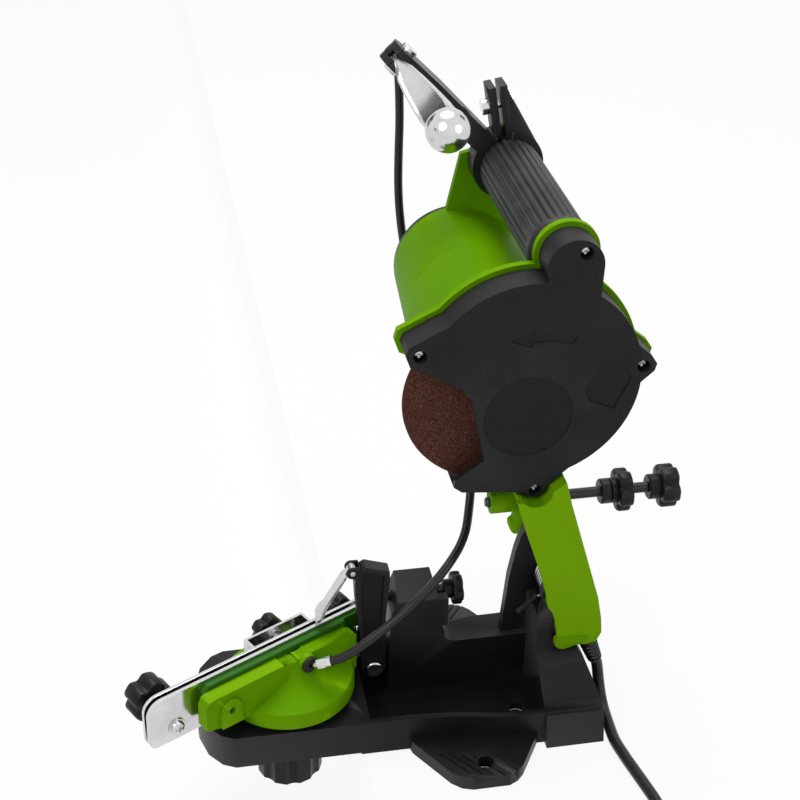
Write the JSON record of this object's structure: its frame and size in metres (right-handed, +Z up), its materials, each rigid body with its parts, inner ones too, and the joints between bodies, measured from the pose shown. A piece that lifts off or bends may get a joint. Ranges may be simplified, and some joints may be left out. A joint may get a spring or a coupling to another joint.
{
  "type": "electric chainsaw sharpener",
  "caption": "Bench chain grinder: tilting motor head with guarded abrasive wheel and lever handle over a black base with a turning vise for the chain.",
  "frame": {"origin": "on the bench plane, midway between the two bench bolt holes", "axes": "+X to the back of the machine, +Y along the motor away from the guard, +Z up"},
  "size_m": [0.3714, 0.4581, 0.3805],
  "materials": {
    "base_black": "satin moulded black plastic",
    "green_paint": "bright leaf-green moulded housing",
    "green_dark": "dark green moulded strip",
    "guard_grey": "dark grey textured plastic",
    "knob_black": "black moulded plastic",
    "chrome": "bright plated pressed steel",
    "steel": "zinc plated steel",
    "black_steel": "black lacquered metal",
    "grip_rubber": "soft ribbed black rubber",
    "cord_black": "black flexible sheath",
    "wheel_red": "salmon-brown bonded abrasive grain",
    "copper": "bare copper alloy",
    "core_iron": "lacquered laminations",
    "switch_red": "red moulded rocker"
  },
  "bodies": {
    "base": {"base_frame": "base_black", "hinge_pin": "steel", "return_spring": "steel", "stop_pivot_bolt": "steel", "clamp_cable_lower": "cord_black", "power_cord": "cord_black", "cord_coil": "cord_black", "mains_plug": "cord_black"},
    "stop": {"stop_carrier": "black_steel", "pawl_pin": "steel"},
    "pawl": {"stop_pawl": "chrome"},
    "stop_rod": {"stop_screw": "black_steel"},
    "stop_handle": {"stop_knob": "knob_black"},
    "vise": {"vise_body": "green_paint", "near_rail": "chrome", "jaw_strip": "green_dark", "clamp_bracket": "chrome", "clamp_spring": "steel", "rail_bolts": "steel", "cable_grommet": "grip_rubber", "cable_ferrule": "chrome", "turntable_bolt": "steel"},
    "moving_rail": {"far_rail": "chrome"},
    "clamp_handle": {"clamp_knob": "knob_black"},
    "end_handle": {"end_knob": "knob_black"},
    "tail_handle": {"tail_knob": "knob_black"},
    "table_lock": {"lock_knob": "knob_black"},
    "head": {"motor_housing": "green_paint", "rear_cover": "guard_grey", "arm": "green_paint", "guard": "guard_grey", "guard_screws": "steel", "handle_tube": "steel", "grip": "grip_rubber", "lever_perch": "black_steel", "perch_bolt": "chrome", "lever_pivot": "chrome", "cable_adjuster": "chrome", "clamp_cable_upper": "cord_black", "stator": "core_iron", "brush_holders": "copper", "bearings": "steel", "strain_relief": "cord_black"},
    "lever": {"brake_lever": "chrome"},
    "depth_rod": {"depth_screw": "black_steel"},
    "depth_handle": {"depth_knob": "knob_black"},
    "depth_lock": {"depth_lock_knob": "knob_black"},
    "switch": {"power_switch": "switch_red"},
    "rotor": {"spindle": "steel", "armature": "core_iron", "commutator": "copper", "cooling_fan": "knob_black", "grinding_wheel": "wheel_red", "wheel_flanges": "steel", "spindle_nut": "steel"}
  },
  "joints": [
    {"name": "head_swing", "type": "hinge", "parent": "base", "child": "head", "pos_m": [0.052, 0, 0.08], "axis": [0, -1, 0], "range_deg": [0, 58.6], "stiffness_Nm_per_rad": 2.2, "springref_deg": -34.38, "deforming": ["return_spring", "power_cord", "clamp_cable_lower"]},
    {"name": "wheel_spin", "type": "hinge", "parent": "head", "child": "rotor", "pos_m": [0.012, 0, 0.202], "axis": [0, 1, 0], "continuous": true},
    {"name": "lever_squeeze", "type": "hinge", "parent": "head", "child": "lever", "pos_m": [-0.01555, 0.136, 0.33457], "axis": [0.6947, 0, 0.7193], "range_deg": [0, 20], "stiffness_Nm_per_rad": 0.25, "springref_deg": -20.05},
    {"name": "depth_turn", "type": "hinge", "parent": "depth_rod", "child": "depth_handle", "pos_m": [0.11, 0.008, 0.13], "axis": [1, 0, 0], "range_deg": [-1440, 2160]},
    {"name": "depth_travel", "type": "slide", "parent": "head", "child": "depth_rod", "axis": [1, 0, 0], "range_m": [-0.004, 0.006]},
    {"name": "depth_lock_turn", "type": "hinge", "parent": "depth_rod", "child": "depth_lock", "pos_m": [0.083, 0.008, 0.13], "axis": [1, 0, 0], "range_deg": [-180, 180]},
    {"name": "switch_rock", "type": "hinge", "parent": "head", "child": "switch", "pos_m": [0.0315, 0.1386, 0.2245], "axis": [1, 0, 0], "range_deg": [0, 8]},
    {"name": "vise_turn", "type": "hinge", "parent": "base", "child": "vise", "pos_m": [-0.1, 0, 0.025], "axis": [0, 0, 1], "range_deg": [0, 97]},
    {"name": "rail_close", "type": "slide", "parent": "vise", "child": "moving_rail", "axis": [0.4695, -0.8829, 0], "range_m": [0, 0.0015]},
    {"name": "clamp_turn", "type": "hinge", "parent": "vise", "child": "clamp_handle", "pos_m": [-0.10392, 0.01377, 0.047], "axis": [-0.4695, 0.8829, 0], "range_deg": [-180, 180]},
    {"name": "end_turn", "type": "hinge", "parent": "vise", "child": "end_handle", "pos_m": [-0.17147, -0.02215, 0.037], "axis": [-0.4695, 0.8829, 0], "range_deg": [-180, 180]},
    {"name": "tail_turn", "type": "hinge", "parent": "vise", "child": "tail_handle", "pos_m": [-0.06552, 0.03419, 0.044], "axis": [-0.4695, 0.8829, 0], "range_deg": [-180, 180]},
    {"name": "table_lock_turn", "type": "hinge", "parent": "base", "child": "table_lock", "pos_m": [-0.1, 0, -0.02], "axis": [0, 0, 1], "range_deg": [-180, 180]},
    {"name": "stop_turn", "type": "hinge", "parent": "stop_rod", "child": "stop_handle", "pos_m": [-0.003, 0.02, 0.064], "axis": [-1, 0, 0], "range_deg": [-540, 540]},
    {"name": "stop_travel", "type": "slide", "parent": "base", "child": "stop_rod", "axis": [-1, 0, 0], "range_m": [-0.0015, 0.0015]},
    {"name": "stop_tilt", "type": "hinge", "parent": "base", "child": "stop", "pos_m": [-0.05, 0.01, 0.024], "axis": [0, -1, 0], "range_deg": [-2.15, 2.15]},
    {"name": "pawl_flip", "type": "hinge", "parent": "stop", "child": "pawl", "pos_m": [-0.062, 0.01, 0.092], "axis": [0, -1, 0], "range_deg": [-60, 0]}
  ],
  "couplings": [
    {"joint": "depth_turn", "follows": "depth_travel", "rad_per_m": 6283.2},
    {"joint": "stop_turn", "follows": "stop_tilt", "ratio": 251.33},
    {"joint": "stop_travel", "follows": "stop_tilt", "m_per_rad": 0.04},
    {"joint": "rail_close", "follows": "lever_squeeze", "m_per_rad": 0.0042685}
  ]
}
